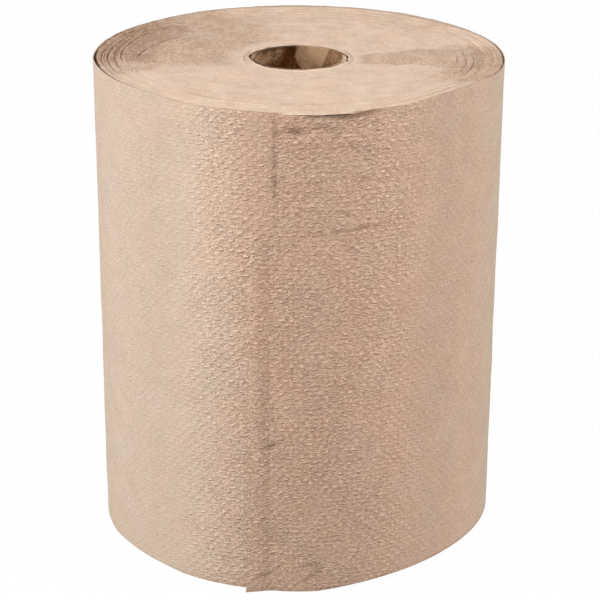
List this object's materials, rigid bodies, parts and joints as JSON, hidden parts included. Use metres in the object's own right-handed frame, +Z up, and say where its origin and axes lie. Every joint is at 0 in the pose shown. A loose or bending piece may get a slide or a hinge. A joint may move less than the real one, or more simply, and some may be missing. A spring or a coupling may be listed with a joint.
{
  "type": "paper towel roll",
  "caption": "Hard-wound roll of brown paper towel on a paperboard core, standing on its end with its free edge laid flat.",
  "frame": {"origin": "on the axis of the core, at the roll's lower end", "axes": "+Z up the core's axis, -Y towards the viewer, whose side carries the free edge"},
  "size_m": [0.1656, 0.1684, 0.202],
  "materials": {
    "core_board": "matte",
    "towel_paper": "matte embossed"
  },
  "bodies": {
    "root": {"core_tube": "core_board", "towel_roll": "towel_paper"}
  },
  "joints": []
}
